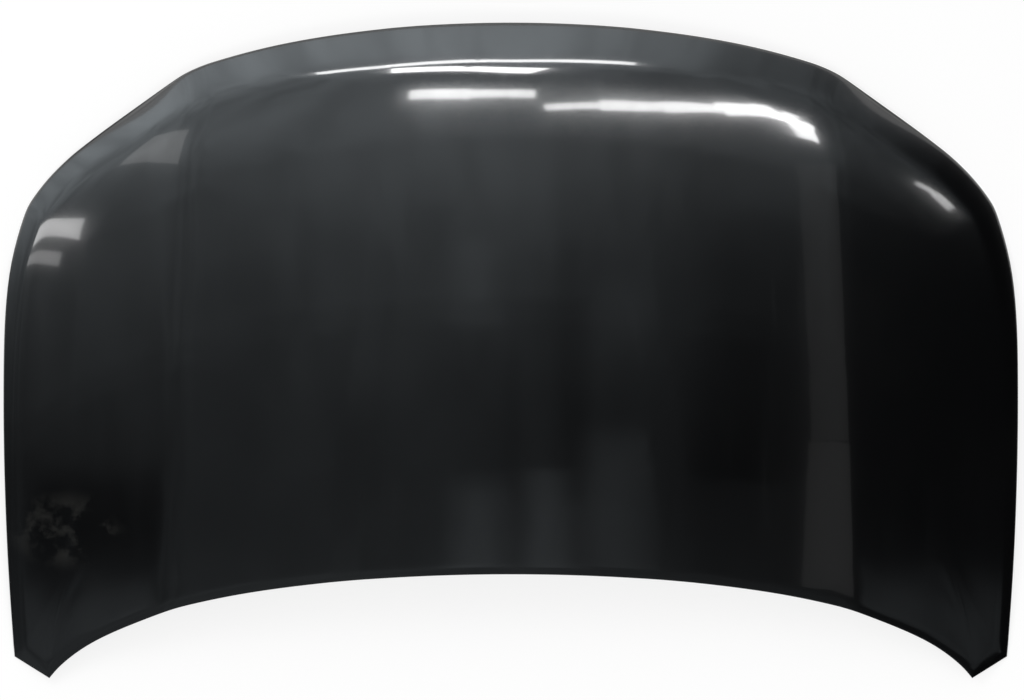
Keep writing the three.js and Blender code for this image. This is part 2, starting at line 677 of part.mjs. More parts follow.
// The frame's upper face as strips and quads of shared points.
function frameTop() {
  const { grid, spoke } = frameMap;
  const flat = new Set();
  const floorPoint = (at, pad) => {
    const place = new THREE.Vector3(at.x, at.y, pad ?? floorHeight(at.x, at.y));
    if (pad !== null) flat.add(place);
    return place;
  };
  const points = grid.map((column, i) => column.map((at, j) => {
    if (!onFloor(i, j)) return new THREE.Vector3(at.x, at.y, webHeight(at.x, at.y));
    return floorPoint(at, padHeight(i, j <= ROW.rearFloor, j >= ROW.frontFloor));
  }));
  const flange = (distance) => stations.map((place, k) => {
    const at = spoke(k, distance);
    return onSkin(at.x, at.y, -SKIN_THICKNESS - HEM_CLEARANCE);
  });
  const wall = stations.map((place, k) => {
    const at = spoke(k, RAIL_WALL_END);
    const [i, j] = border[k];
    return floorPoint(at, padHeight(i, j === ROW.rear, false));
  });
  const rim = [flange(FLANGE_START), flange(FLANGE_END), wall, border.map(([i, j]) => points[i][j])];
  const quads = [];
  const addStrip = (inner, outer, closed) => {
    const count = closed ? inner.length : inner.length - 1;
    for (let k = 0; k < count; k += 1) {
      const next = (k + 1) % inner.length;
      quads.push([inner[k], outer[k], outer[next], inner[next]]);
    }
  };
  for (let r = 1; r < rim.length; r += 1) addStrip(rim[r], rim[r - 1], false);
  const inPocket = (i, j) => pockets.some(({ column, row }) => (
    i >= Math.max(0, column.from) && i < column.to && j >= row.from && j < row.to));
  for (let i = 0; i < COLUMN.side; i += 1) {
    for (let j = 0; j < ROW.front; j += 1) {
      if (inPocket(i, j)) continue;
      quads.push([points[i][j], points[i + 1][j], points[i + 1][j + 1], points[i][j + 1]]);
    }
  }
  const edges = [{ row: rim[0], closed: false, outer: true }];
  for (const pocket of pockets) {
    const { path, closed } = pocketBorder(pocket);
    const outer = path.map(([i, j]) => points[i][j]);
    const shoulderRow = cutoutRow(pocket, path, -CUTOUT_RING, 0);
    const lipStart = cutoutRow(pocket, path, CUTOUT_LIP / 2, CUTOUT_LIP_BEND);
    const lipEnd = cutoutRow(pocket, path, CUTOUT_LIP, CUTOUT_LIP_DEPTH);
    addStrip(shoulderRow, outer, closed);
    addStrip(lipStart, shoulderRow, closed);
    addStrip(lipEnd, lipStart, closed);
    edges.push({ row: lipEnd, closed, outer: false });
  }
  return { quads, edges, flat };
}

// Gives the frame's upper face its thickness, along the normals of its own faces, and straight
// down on the flat pads.
function innerFrameSheet() {
  const { quads, edges, flat } = frameTop();
  const normals = new Map();
  for (const [a, b, c, d] of quads) {
    const normal = c.clone().sub(a).cross(d.clone().sub(b));
    for (const p of [a, b, c, d]) {
      if (!normals.has(p)) normals.set(p, new THREE.Vector3());
      normals.get(p).add(normal.clone().normalize());
    }
  }
  const lowered = new Map();
  for (const [p, normal] of normals) {
    if (p.x === 0) normal.x = 0;
    if (flat.has(p)) normal.set(0, 0, 1);
    lowered.set(p, p.clone().addScaledVector(normal.normalize(), -FRAME_THICKNESS));
  }
  const faces = faceList();
  for (const [a, b, c, d] of quads) {
    faces.quad(a, b, c, d);
    faces.quad(lowered.get(a), lowered.get(d), lowered.get(c), lowered.get(b));
  }
  for (const { row, closed, outer } of edges) {
    const under = row.map((p) => lowered.get(p));
    if (outer) faces.strip(under, row, closed);
    else faces.strip(row, under, closed);
  }
  return geometryOf(faces.numbers);
}

// Bolt places

const latchCentre = pads.latch;
const hingeCentre = (side) => new THREE.Vector3(side * pads.hinge.x, pads.hinge.y, pads.hinge.z);
const hingeBolts = (side) => [1, -1].map((end) => (
  hingeCentre(side).add(new THREE.Vector3(0, (end * HINGE_BOLT_SPACING) / 2, 0))));
const strikerBolts = [-1, 1].map((side) => (
  latchCentre.clone().add(new THREE.Vector3((side * STRIKER_BOLT_SPACING) / 2, 0, 0))));

// Solids in and out of the boolean library

const MERGE_DISTANCE = 1e-4;

function solidOf(geometry) {
  const bare = geometry.clone();
  bare.deleteAttribute('normal');
  bare.deleteAttribute('uv');
  const merged = mergeVertices(bare, MERGE_DISTANCE);
  return new wasm.Manifold(new wasm.Mesh({
    numProp: 3,
    vertProperties: new Float32Array(merged.attributes.position.array),
    triVerts: new Uint32Array(merged.index.array),
  }));
}

function geometryFrom(solid) {
  const { vertProperties, triVerts } = solid.getMesh();
  const numbers = [];
  for (const v of triVerts) numbers.push(...vertProperties.slice(3 * v, 3 * v + 3));
  return geometryOf(numbers);
}

function roundBar(diameter, length, at) {
  const bar = new THREE.CylinderGeometry(diameter / 2, diameter / 2, length, ROUND_SEGMENTS);
  bar.rotateX(Math.PI / 2);
  bar.translate(at.x, at.y, at.z);
  return bar;
}

function innerFrame() {
  const holes = [...hingeBolts(-1), ...hingeBolts(1), ...strikerBolts];
  let solid = solidOf(innerFrameSheet());
  for (const at of holes) solid = solid.subtract(solidOf(roundBar(BOLT_HOLE, HOLE_CUTTER_LENGTH, at)));
  return geometryFrom(solid);
}

// Small pieces

function circleHole(x, y, diameter) {
  const hole = new THREE.Path();
  hole.absarc(x, y, diameter / 2, 0, 2 * Math.PI, true);
  return hole;
}

function roundedPlate(width, length, thickness, corner, holes) {
  const w = width / 2;
  const l = length / 2;
  const shape = new THREE.Shape();
  shape.moveTo(-w + corner, -l);
  shape.lineTo(w - corner, -l);
  shape.absarc(w - corner, -l + corner, corner, -Math.PI / 2, 0);
  shape.absarc(w - corner, l - corner, corner, 0, Math.PI / 2);
  shape.absarc(-w + corner, l - corner, corner, Math.PI / 2, Math.PI);
  shape.absarc(-w + corner, -l + corner, corner, Math.PI, 1.5 * Math.PI);
  shape.holes = holes;
  return new THREE.ExtrudeGeometry(shape, { depth: thickness, bevelEnabled: false, curveSegments: 6 });
}

function hexagon(acrossFlats) {
  const radius = acrossFlats / Math.sqrt(3);
  const shape = new THREE.Shape();
  for (let n = 0; n < 6; n += 1) {
    const angle = (n * Math.PI) / 3;
    const corner = [radius * Math.cos(angle), radius * Math.sin(angle)];
    if (n === 0) shape.moveTo(...corner);
    else shape.lineTo(...corner);
  }
  return shape;
}

function weldNut() {
  const shape = hexagon(NUT_ACROSS_FLATS);
  shape.holes = [circleHole(0, 0, BOLT_DIAMETER + 2 * CLEARANCE)];
  return new THREE.ExtrudeGeometry(shape, { depth: NUT_HEIGHT, bevelEnabled: false, curveSegments: 8 });
}

function hingePlate() {
  const holes = [1, -1].map((end) => circleHole(0, (end * HINGE_BOLT_SPACING) / 2, BOLT_HOLE));
  return roundedPlate(HINGE_PLATE_X, HINGE_PLATE_Y, HINGE_PLATE_THICKNESS, PLATE_CORNER, holes);
}

function plateWithStrikerHoles(width, length, thickness) {
  const holes = [1, -1].map((end) => circleHole((end * STRIKER_BOLT_SPACING) / 2, 0, BOLT_HOLE));
  return roundedPlate(width, length, thickness, PLATE_CORNER, holes);
}

// A round rod bent to a U, hanging from z = 0.
function strikerLoop() {
  const x = STRIKER_SPAN / 2;
  const bottom = -STRIKER_DROP;
  const bend = STRIKER_BEND;
  const v = (a, z) => new THREE.Vector3(a, 0, z);
  const path = new THREE.CurvePath();
  path.add(new THREE.LineCurve3(v(-x, 0), v(-x, bottom + bend)));
  path.add(new THREE.QuadraticBezierCurve3(v(-x, bottom + bend), v(-x, bottom), v(-x + bend, bottom)));
  path.add(new THREE.LineCurve3(v(-x + bend, bottom), v(x - bend, bottom)));
  path.add(new THREE.QuadraticBezierCurve3(v(x - bend, bottom), v(x, bottom), v(x, bottom + bend)));
  path.add(new THREE.LineCurve3(v(x, bottom + bend), v(x, 0)));
  const section = new THREE.Shape();
  section.absarc(0, 0, STRIKER_ROD / 2, 0, 2 * Math.PI);
  return new THREE.ExtrudeGeometry(section, { steps: ROD_STEPS, extrudePath: path, curveSegments: 5 });
}

// Head down, shank up, with z = 0 at the face of the head.
function strikerBolt() {
  const length = CLEARANCE + STRIKER_PLATE_THICKNESS + CLEARANCE + FRAME_THICKNESS + CLEARANCE
    + LATCH_PLATE_THICKNESS + CLEARANCE + NUT_HEIGHT + BOLT_STICK_OUT;
  const headShape = hexagon(NUT_ACROSS_FLATS);
  const head = new THREE.ExtrudeGeometry(headShape, { depth: BOLT_HEAD_HEIGHT, bevelEnabled: false });
  head.translate(0, 0, -BOLT_HEAD_HEIGHT);
  const shank = roundBar(BOLT_DIAMETER, length + 1, new THREE.Vector3(0, 0, (length - 1) / 2));
  return geometryFrom(solidOf(head).add(solidOf(shank)));
}

function masticPad(centre) {
  const faces = [];
  const rim = (height) => Array.from({ length: MASTIC_SIDES }, (unused, n) => {
    const angle = (2 * Math.PI * n) / MASTIC_SIDES;
    const x = centre.x + (MASTIC_DIAMETER / 2) * Math.cos(angle);
    const y = centre.y + (MASTIC_DIAMETER / 2) * Math.sin(angle);
    return [x, y, height(x, y)];
  });
  const over = (x, y) => onSkin(x, y, -SKIN_THICKNESS - MASTIC_CLEARANCE).z;
  const below = (x, y) => webHeight(x, y) + MASTIC_CLEARANCE;
  const top = rim(over);
  const base = rim(below);
  const topMid = [centre.x, centre.y, over(centre.x, centre.y)];
  const baseMid = [centre.x, centre.y, below(centre.x, centre.y)];
  for (let n = 0; n < MASTIC_SIDES; n += 1) {
    const next = (n + 1) % MASTIC_SIDES;
    faces.push(topMid, top[n], top[next], baseMid, base[next], base[n]);
    faces.push(base[n], base[next], top[next], base[n], top[next], top[n]);
  }
  return geometryOf(faces.flat());
}

// Assembly

const bonnet = new THREE.Group();

function addPiece(name, geometry, look, at = new THREE.Vector3()) {
  const mesh = new THREE.Mesh(geometry, new THREE.MeshStandardMaterial(look));
  mesh.name = name;
  mesh.position.copy(at);
  bonnet.add(mesh);
  return mesh;
}

const raised = (at, rise) => at.clone().add(new THREE.Vector3(0, 0, rise));

addPiece('outer_skin', outerSkin(), primer);
addPiece('inner_frame', innerFrame(), primer);

for (const [side, sign] of [['left', -1], ['right', 1]]) {
  const plateBase = CLEARANCE;
  const nutBase = plateBase + HINGE_PLATE_THICKNESS + CLEARANCE;
  addPiece(`hinge_reinforcement_${side}`, hingePlate(), primer, raised(hingeCentre(sign), plateBase));
  hingeBolts(sign).forEach((at, n) => {
    addPiece(`hinge_nut_${side}_${['front', 'rear'][n]}`, weldNut(), primer, raised(at, nutBase));
  });
}

const latchPlateBase = CLEARANCE;
const strikerPlateTop = -FRAME_THICKNESS - CLEARANCE;
const strikerPlateBase = strikerPlateTop - STRIKER_PLATE_THICKNESS;
addPiece('latch_reinforcement', plateWithStrikerHoles(LATCH_PLATE_X, LATCH_PLATE_Y, LATCH_PLATE_THICKNESS),
  primer, raised(latchCentre, latchPlateBase));
addPiece('striker_plate', plateWithStrikerHoles(STRIKER_PLATE_X, STRIKER_PLATE_Y, STRIKER_PLATE_THICKNESS),
  zinc, raised(latchCentre, strikerPlateBase));
addPiece('striker_loop', strikerLoop(), zinc, raised(latchCentre, strikerPlateBase - CLEARANCE));
strikerBolts.forEach((at, n) => {
  const side = ['left', 'right'][n];
  addPiece(`striker_bolt_${side}`, strikerBolt(), zinc, raised(at, strikerPlateBase - CLEARANCE));
  addPiece(`striker_nut_${side}`, weldNut(), primer,
    raised(at, latchPlateBase + LATCH_PLATE_THICKNESS + CLEARANCE));
});

// Two mastic pads in each pocket, and in its twin on the other side.
let masticCount = 0;
for (const pocket of pockets) {
  for (const along of [-MASTIC_SHARE_ALONG, MASTIC_SHARE_ALONG]) {
    const place = pocketPlace(pocket, 0, along);
    const twins = pocket.column.from < 0 ? [0] : [-place.x, place.x];
    for (const x of twins) {
      masticCount += 1;
      addPiece(`mastic_pad_${String(masticCount).padStart(2, '0')}`, masticPad({ x, y: place.y }), mastic);
    }
  }
}

export default bonnet;
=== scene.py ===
# %% [markdown]
# # A car bonnet in black primer
# A replacement bonnet comes from the press shop dipped in glossy black primer, and is painted only
# once it is on a car. Nearly all that the eye sees of it is reflection, so this lesson is about two
# things: a smooth sheet for the light to run over, and a studio worth reflecting.
# The frame brings the measured solids. Each cell after it turns one of them into a finished piece,
# or sets up a part of the studio.

# %% Load the frame
import math

import bpy
from mathutils import Matrix, Vector


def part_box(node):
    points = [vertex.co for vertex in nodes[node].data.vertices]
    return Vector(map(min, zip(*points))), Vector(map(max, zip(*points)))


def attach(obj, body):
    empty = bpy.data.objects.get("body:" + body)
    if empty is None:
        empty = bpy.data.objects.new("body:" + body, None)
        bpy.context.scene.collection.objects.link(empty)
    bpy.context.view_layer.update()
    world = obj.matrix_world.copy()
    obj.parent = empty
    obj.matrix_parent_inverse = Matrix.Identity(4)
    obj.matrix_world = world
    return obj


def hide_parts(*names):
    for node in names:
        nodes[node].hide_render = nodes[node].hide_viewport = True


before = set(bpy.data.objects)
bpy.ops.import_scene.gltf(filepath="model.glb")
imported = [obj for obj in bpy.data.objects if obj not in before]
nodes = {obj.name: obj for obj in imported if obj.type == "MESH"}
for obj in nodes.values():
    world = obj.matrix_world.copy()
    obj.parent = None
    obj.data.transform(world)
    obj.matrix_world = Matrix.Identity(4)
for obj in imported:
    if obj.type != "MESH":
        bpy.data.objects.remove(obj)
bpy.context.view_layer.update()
MM = 0.001

# %% [markdown]
# ## Small helpers
# Blender's operators act on whatever is selected, and the imported solids all start out selected.
# So each step first clears the selection, then picks its own object.


# %% Selecting and editing
def only(piece):
    """Selects one piece alone and makes it the active one."""
    for other in list(bpy.context.selected_objects):
        other.select_set(False)
    piece.select_set(True)
    bpy.context.view_layer.objects.active = piece


def edit(piece, mode="VERT"):
    """Opens a piece in edit mode with nothing selected."""
    only(piece)
    bpy.ops.object.mode_set(mode="EDIT")
    bpy.ops.mesh.select_mode(type=mode)
    bpy.ops.mesh.select_all(action="DESELECT")


def leave_edit():
    bpy.ops.object.mode_set(mode="OBJECT")


def choose(piece, kind, test):
    """Selects the vertices, edges or faces that pass a test. Called between two edits."""
    leave_edit()
    count = 0
    for element in getattr(piece.data, kind):
        element.select = bool(test(element))
        count += element.select
    bpy.ops.object.mode_set(mode="EDIT")
    return count


def apply_modifier(piece, kind, **settings):
    """Adds a modifier, sets it and applies it."""
    only(piece)
    modifier = piece.modifiers.new(kind.title(), kind)
    for key, value in settings.items():
        setattr(modifier, key, value)
    bpy.ops.object.modifier_apply(modifier=modifier.name)


def place_in_mesh(piece):
    """Puts an object's place and turn into its mesh, so that the object sits at the origin."""
    only(piece)
    bpy.ops.object.transform_apply(location=True, rotation=True, scale=True)


def merged_copy(node, name, merge=2e-6):
    """A free copy of a solid, with its loose triangles merged and paired into quads."""
    mesh = nodes[node].data.copy()
    piece = bpy.data.objects.new(name, mesh)
    bpy.context.scene.collection.objects.link(piece)
    mesh.materials.clear()
    edit(piece)
    bpy.ops.mesh.select_all(action="SELECT")
    bpy.ops.mesh.remove_doubles(threshold=merge)
    bpy.ops.mesh.tris_convert_to_quads(face_threshold=math.radians(50), shape_threshold=math.radians(75))
    leave_edit()
    return piece


def finish_piece(piece, material, slot, *replaced):
    """Gives a piece its finish and hangs it on the frame."""
    piece.data.materials.clear()
    piece.data.materials.append(material)
    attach(piece, "root")
    if replaced:
        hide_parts(*replaced)
    return piece


# %% [markdown]
# ## Effects that several finishes share
# Primer sprayed or dipped on steel is never a perfect mirror. It has a fine orange peel, a little
# dust in its resting places, and wide soft streaks where it was wiped. Each effect is a node group
# that gives out one number over the surface, so that every finish can use it in its own measure.


# %% A way to start a node group
def new_group(name, inputs, outputs):
    """A shader node group with its sockets, and the nodes at both of its ends."""
    group = bpy.data.node_groups.new(name, "ShaderNodeTree")
    for label, kind, value in inputs:
        socket = group.interface.new_socket(name=label, in_out="INPUT", socket_type=kind)
        socket.default_value = value
    for label, kind in outputs:
        group.interface.new_socket(name=label, in_out="OUTPUT", socket_type=kind)
    start = group.nodes.new("NodeGroupInput")
    end = group.nodes.new("NodeGroupOutput")
    return group, start, end


def noise(tree, vector, scale, detail=2.0, roughness=0.5):
    """A noise texture; scale is about the number of its lumps to the metre."""
    node = tree.nodes.new("ShaderNodeTexNoise")
    node.inputs["Scale"].default_value = scale
    node.inputs["Detail"].default_value = detail
    node.inputs["Roughness"].default_value = roughness
    tree.links.new(vector, node.inputs["Vector"])
    return node.outputs["Fac"]


def maths(tree, operation, a, b=None):
    """One calculation with numbers or sockets."""
    node = tree.nodes.new("ShaderNodeMath")
    node.operation = operation
    for socket, value in zip(node.inputs, (a, b)):
        if isinstance(value, (int, float)):
            socket.default_value = value
        elif value is not None:
            tree.links.new(value, socket)
    return node.outputs[0]


def ramp(tree, value, low, high, out_low=0.0, out_high=1.0):
    """Maps a range of numbers smoothly onto another."""
    node = tree.nodes.new("ShaderNodeMapRange")
    node.interpolation_type = "SMOOTHSTEP"
    for label, number in zip(("From Min", "From Max", "To Min", "To Max"), (low, high, out_low, out_high)):
        node.inputs[label].default_value = number
    tree.links.new(value, node.inputs["Value"])
    return node.outputs["Result"]


# %% Orange peel
def orange_peel_group():
    """Height of a sprayed film in millimetres: fine peel over long soft waves."""
    inputs = [("Vector", "NodeSocketVector", (0, 0, 0)), ("Peel", "NodeSocketFloat", 0.5),
              ("Waves", "NodeSocketFloat", 0.5)]
    group, start, end = new_group("orange_peel", inputs, [("Height", "NodeSocketFloat")])
    fine = noise(group, start.outputs["Vector"], 420.0, detail=1.0)
    wide = noise(group, start.outputs["Vector"], 9.0, detail=1.0)
    peel = maths(group, "MULTIPLY", fine, start.outputs["Peel"])
    waves = maths(group, "MULTIPLY", wide, start.outputs["Waves"])
    group.links.new(maths(group, "ADD", peel, waves), end.inputs["Height"])
    return group


# %% Settled dust
def dust_group():
    """A mask from 0 to 1 of fine dust, thicker in cloudy patches."""
    inputs = [("Vector", "NodeSocketVector", (0, 0, 0)), ("Amount", "NodeSocketFloat", 0.5)]
    group, start, end = new_group("settled_dust", inputs, [("Mask", "NodeSocketFloat")])
    clouds = ramp(group, noise(group, start.outputs["Vector"], 3.5, detail=4.0), 0.42, 0.72)
    specks = ramp(group, noise(group, start.outputs["Vector"], 900.0, detail=0.0), 0.66, 0.74)
    mask = maths(group, "ADD", maths(group, "MULTIPLY", clouds, 0.6), maths(group, "MULTIPLY", specks, 0.5))
    group.links.new(maths(group, "MULTIPLY", mask, start.outputs["Amount"]), end.inputs["Mask"])
    return group


# %% Wiping streaks
def streak_group():
    """A mask from 0 to 1 of long faint streaks along Y, as a cloth leaves them."""
    inputs = [("Vector", "NodeSocketVector", (0, 0, 0)), ("Amount", "NodeSocketFloat", 0.5)]
    group, start, end = new_group("wiping_streaks", inputs, [("Mask", "NodeSocketFloat")])
    stretch = group.nodes.new("ShaderNodeMapping")
    stretch.inputs["Scale"].default_value = (1.0, 0.07, 1.0)
    group.links.new(start.outputs["Vector"], stretch.inputs["Vector"])
    long = ramp(group, noise(group, stretch.outputs["Vector"], 38.0, detail=5.0, roughness=0.62), 0.45, 0.75)
    patches = ramp(group, noise(group, start.outputs["Vector"], 4.0, detail=2.0), 0.4, 0.65)
    mask = maths(group, "MULTIPLY", long, patches)
    group.links.new(maths(group, "MULTIPLY", mask, start.outputs["Amount"]), end.inputs["Mask"])
    return group


EFFECTS = {"orange_peel": orange_peel_group(), "dust": dust_group(), "streaks": streak_group()}
print("Shared effects:", ", ".join(EFFECTS))

# %% [markdown]
# ## The finishes
# Black primer looks like clear resin over a black film, so it gets the Principled shader's coat
# as well as its own gloss: the coat gives the crisp lines of the lamps, the film under it a wider
# bloom. Zinc plating is a dull metal, and mastic is plain soft rubber.


# %% A way to start a finish
def new_material(name, colour, roughness, metallic=0.0):
    material = bpy.data.materials.new(name)
    material.use_nodes = True
    tree = material.node_tree
    shader = tree.nodes["Principled BSDF"]
    shader.inputs["Base Color"].default_value = (*colour, 1.0)
    shader.inputs["Roughness"].default_value = roughness
    shader.inputs["Metallic"].default_value = metallic
    place = tree.nodes.new("ShaderNodeTexCoord").outputs["Object"]
    return material, tree, shader, place


def effect(tree, name, place, **values):
    """Places a shared effect in a finish, with its own values."""
    node = tree.nodes.new("ShaderNodeGroup")
    node.node_tree = EFFECTS[name]
    tree.links.new(place, node.inputs["Vector"])
    for label, value in values.items():
        node.inputs[label].default_value = value
    return node.outputs[0]


def colour_mix(tree, mask, first, second):
    """One colour fading into another under a mask."""
    node = tree.nodes.new("ShaderNodeMix")
    node.data_type = "RGBA"
    node.inputs["A"].default_value = (*first, 1.0)
    node.inputs["B"].default_value = (*second, 1.0)
    tree.links.new(mask, node.inputs["Factor"])
    return node.outputs["Result"]


def add_bump(tree, shader, height, distance):
    node = tree.nodes.new("ShaderNodeBump")
    node.inputs["Distance"].default_value = distance
    node.inputs["Strength"].default_value = 1.0
    tree.links.new(height, node.inputs["Height"])
    tree.links.new(node.outputs["Normal"], shader.inputs["Normal"])


# %% Black primer
PRIMER = (0.0023, 0.0024, 0.0027)
DUST = (0.075, 0.072, 0.066)
COAT_ROUGHNESS = 0.05
COAT_IOR = 1.5
STREAK_ROUGHNESS = 0.14
DUST_ROUGHNESS = 0.6
FILM_HEIGHT = 0.02 * MM


def primer(name, roughness, coat, peel, dust, streaks):
    """Black primer, from the glossy outer skin to the duller pressings inside."""
    material, tree, shader, place = new_material(name, PRIMER, roughness)
    shader.inputs["Coat Weight"].default_value = coat
    shader.inputs["Coat Roughness"].default_value = COAT_ROUGHNESS
    shader.inputs["Coat IOR"].default_value = COAT_IOR
    dusty = effect(tree, "dust", place, Amount=dust)
    tree.links.new(colour_mix(tree, dusty, PRIMER, DUST), shader.inputs["Base Color"])
    wiped = effect(tree, "streaks", place, Amount=streaks)
    rough = maths(tree, "ADD", maths(tree, "MULTIPLY", wiped, STREAK_ROUGHNESS),
                  maths(tree, "MULTIPLY", dusty, DUST_ROUGHNESS))
    tree.links.new(maths(tree, "ADD", rough, roughness), shader.inputs["Roughness"])
    film = effect(tree, "orange_peel", place, Peel=peel, Waves=0.6)
    add_bump(tree, shader, film, FILM_HEIGHT)
    return material


def smear(material, centre, reach, grey):
    """A faint smear that a hand left; it fades out within its reach, in metres, of a centre."""
    tree = material.node_tree
    shader = tree.nodes["Principled BSDF"]
    place = tree.nodes.new("ShaderNodeTexCoord").outputs["Object"]
    spot = tree.nodes.new("ShaderNodeMapping")
    spot.inputs["Scale"].default_value = [1 / r for r in reach]
    spot.inputs["Location"].default_value = [-c / r for c, r in zip(centre, reach)]
    tree.links.new(place, spot.inputs["Vector"])
    length = tree.nodes.new("ShaderNodeVectorMath")
    length.operation = "LENGTH"
    tree.links.new(spot.outputs["Vector"], length.inputs[0])
    near = ramp(tree, length.outputs["Value"], 0.45, 1.0, 1.0, 0.0)
    patches = ramp(tree, noise(tree, place, 22.0, detail=5.0, roughness=0.6), 0.44, 0.6)
    mask = maths(tree, "MULTIPLY", near, patches)
    below = shader.inputs["Base Color"].links[0].from_socket
    node = tree.nodes.new("ShaderNodeMix")
    node.data_type = "RGBA"
    tree.links.new(mask, node.inputs["Factor"])
    tree.links.new(below, node.inputs["A"])
    node.inputs["B"].default_value = (*grey, 1.0)
    tree.links.new(node.outputs["Result"], shader.inputs["Base Color"])


skin_primer = primer("skin_primer", roughness=0.14, coat=1.0, peel=0.35, dust=0.02, streaks=0.5)
smear(skin_primer, centre=(-0.655, -0.265, 0.05), reach=(0.10, 0.065, 0.2), grey=(0.017, 0.017, 0.016))
frame_primer = primer("frame_primer", roughness=0.34, coat=0.4, peel=0.9, dust=0.12, streaks=0.2)


# %% Zinc plating
def zinc():
    """Zinc with the faint clouds of its passivation."""
    pale, warm = (0.54, 0.55, 0.55), (0.50, 0.48, 0.41)
    material, tree, shader, place = new_material("zinc_plating", pale, 0.36, metallic=1.0)
    clouds = ramp(tree, noise(tree, place, 90.0, detail=4.0), 0.45, 0.68)
    tree.links.new(colour_mix(tree, clouds, pale, warm), shader.inputs["Base Color"])
    grain = noise(tree, place, 1500.0, detail=2.0)
    tree.links.new(ramp(tree, grain, 0.3, 0.7, 0.3, 0.46), shader.inputs["Roughness"])
    add_bump(tree, shader, grain, 0.02 * MM)
    return material


zinc_plating = zinc()


# %% Mastic
def mastic():
    """Grey-black mastic with the puckered skin that baking leaves."""
    dark, pale = (0.020, 0.020, 0.021), (0.050, 0.049, 0.047)
    material, tree, shader, place = new_material("mastic", dark, 0.8)
    lumps = noise(tree, place, 260.0, detail=4.0, roughness=0.6)
    tree.links.new(colour_mix(tree, ramp(tree, lumps, 0.4, 0.7), dark, pale), shader.inputs["Base Color"])
    tree.links.new(ramp(tree, lumps, 0.3, 0.7, 0.68, 0.9), shader.inputs["Roughness"])
    add_bump(tree, shader, lumps, 0.6 * MM)
    return material


mastic_rubber = mastic()
print("Finishes:", [m.name for m in (skin_primer, frame_primer, zinc_plating, mastic_rubber)])

# %% [markdown]
# ## The two big pressings
# The outer skin and the inner frame are drawn from flat sheet, so every bend of theirs is round.
# They could be rebuilt from nothing, but the solids already hold the true form as a net of facets.
# A Subdivision Surface draws that net smooth, as the press does. It would also round the sharp
# corners of the outline and the punched bolt holes, so edges there are creased first.


# %% Creases hold the corners
def crease(piece, test):
    """Creases the edges whose two ends share a feature; the test names a point's feature, or None."""
    edit(piece, "EDGE")
    features = [test(v.co) for v in piece.data.vertices]

    def shared(edge):
        first, second = (features[k] for k in edge.vertices)
        return first is not None and first == second

    count = choose(piece, "edges", shared)
    bpy.ops.transform.edge_crease(value=1.0)
    leave_edit()
    return count


def near_one_of(places, reach):
    """A test that names the place a point lies near, seen from above."""
    def test(p):
        return next((k for k, (x, y) in enumerate(places) if math.hypot(p.x - x, p.y - y) < reach), None)
    return test


def farthest(piece, direction):
    """The point of a piece that lies farthest along a direction."""
    return max((v.co for v in piece.data.vertices), key=lambda p: p.dot(Vector(direction))).copy()


def smooth_sheet(piece, levels=2):
    """Rounds a pressed sheet."""
    apply_modifier(piece, "SUBSURF", levels=levels, render_levels=levels)
    only(piece)
    bpy.ops.object.shade_smooth()


# %% Outer skin
CORNER_REACH = 22 * MM
skin = merged_copy("outer_skin", "outer_panel")
tip = farthest(skin, (0.02, -1, 0))
corner = farthest(skin, (0.8, -0.6, 0))
corners = [(side * p.x, p.y) for p in (tip, corner) for side in (-1, 1)]
print("Tip", [round(v, 3) for v in tip], "corner", [round(v, 3) for v in corner])
print("Skin:", len(skin.data.polygons), "faces,",
      crease(skin, near_one_of(corners, CORNER_REACH)), "edges creased")
smooth_sheet(skin)
finish_piece(skin, skin_primer, "black_primer", "outer_skin")
print("Skin after smoothing:", len(skin.data.polygons), "faces")

# %% Inner frame
BOLT_HOLE = 9 * MM
SHEET = 0.7 * MM
PLATE_GAP = 0.3 * MM
inner = merged_copy("inner_frame", "inner_panel")
hinge_nuts = [n for n in nodes if n.startswith("hinge_nut")]
striker_bolts = [n for n in nodes if n.startswith("striker_bolt")]


def middle(node):
    """The middle of a solid's box."""
    low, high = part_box(node)
    return (low + high) / 2


pad_tops = [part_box(node)[0].z - PLATE_GAP for node in ("hinge_reinforcement_left", "latch_reinforcement")]
pad_faces = [height for top in pad_tops for height in (top, top - SHEET)]


def on_pads(p):
    """Names the face of a flat pad that a point lies on, by its height."""
    return next((height for height in pad_faces if abs(p.z - height) < 0.02 * MM), None)


holes = [tuple(middle(n).xy) for n in hinge_nuts + striker_bolts]
print("Frame:", len(inner.data.polygons), "faces,", crease(inner, near_one_of(holes, 0.55 * BOLT_HOLE)),
      "edges creased at the holes and", crease(inner, on_pads), "on the pads")
smooth_sheet(inner)
finish_piece(inner, frame_primer, "black_primer", "inner_frame")
print("Frame after smoothing:", len(inner.data.polygons), "faces")

# %% [markdown]
# ## Plates inside the frame
# Thin sheet can't hold a hinge bolt, so stamped plates back it up at the hinges and at the latch.
# They are flat blanks with punched holes. The solids give the blank exactly; what they lack is the
# rolled-over edge that a punch leaves, which a small bevel draws.


# %% Stamped plates
def stamped(node, edge):
    """A flat plate with its facets merged and its edges rolled over."""
    plate = merged_copy(node, node + "_stamped")
    edit(plate)
    bpy.ops.mesh.select_all(action="SELECT")
    bpy.ops.mesh.dissolve_limited(angle_limit=math.radians(2))
    leave_edit()
    apply_modifier(plate, "BEVEL", width=edge, segments=3, limit_method="ANGLE", angle_limit=math.radians(40))
    only(plate)
    bpy.ops.object.shade_smooth_by_angle(angle=math.radians(50))
    return plate


for node in ("hinge_reinforcement_left", "hinge_reinforcement_right", "latch_reinforcement"):
    finish_piece(stamped(node, 0.4 * MM), frame_primer, "black_primer", node)
striker_plate = finish_piece(stamped("striker_plate", 0.6 * MM), zinc_plating, "zinc_plate", "striker_plate")
print("Striker plate:", len(striker_plate.data.polygons), "faces")

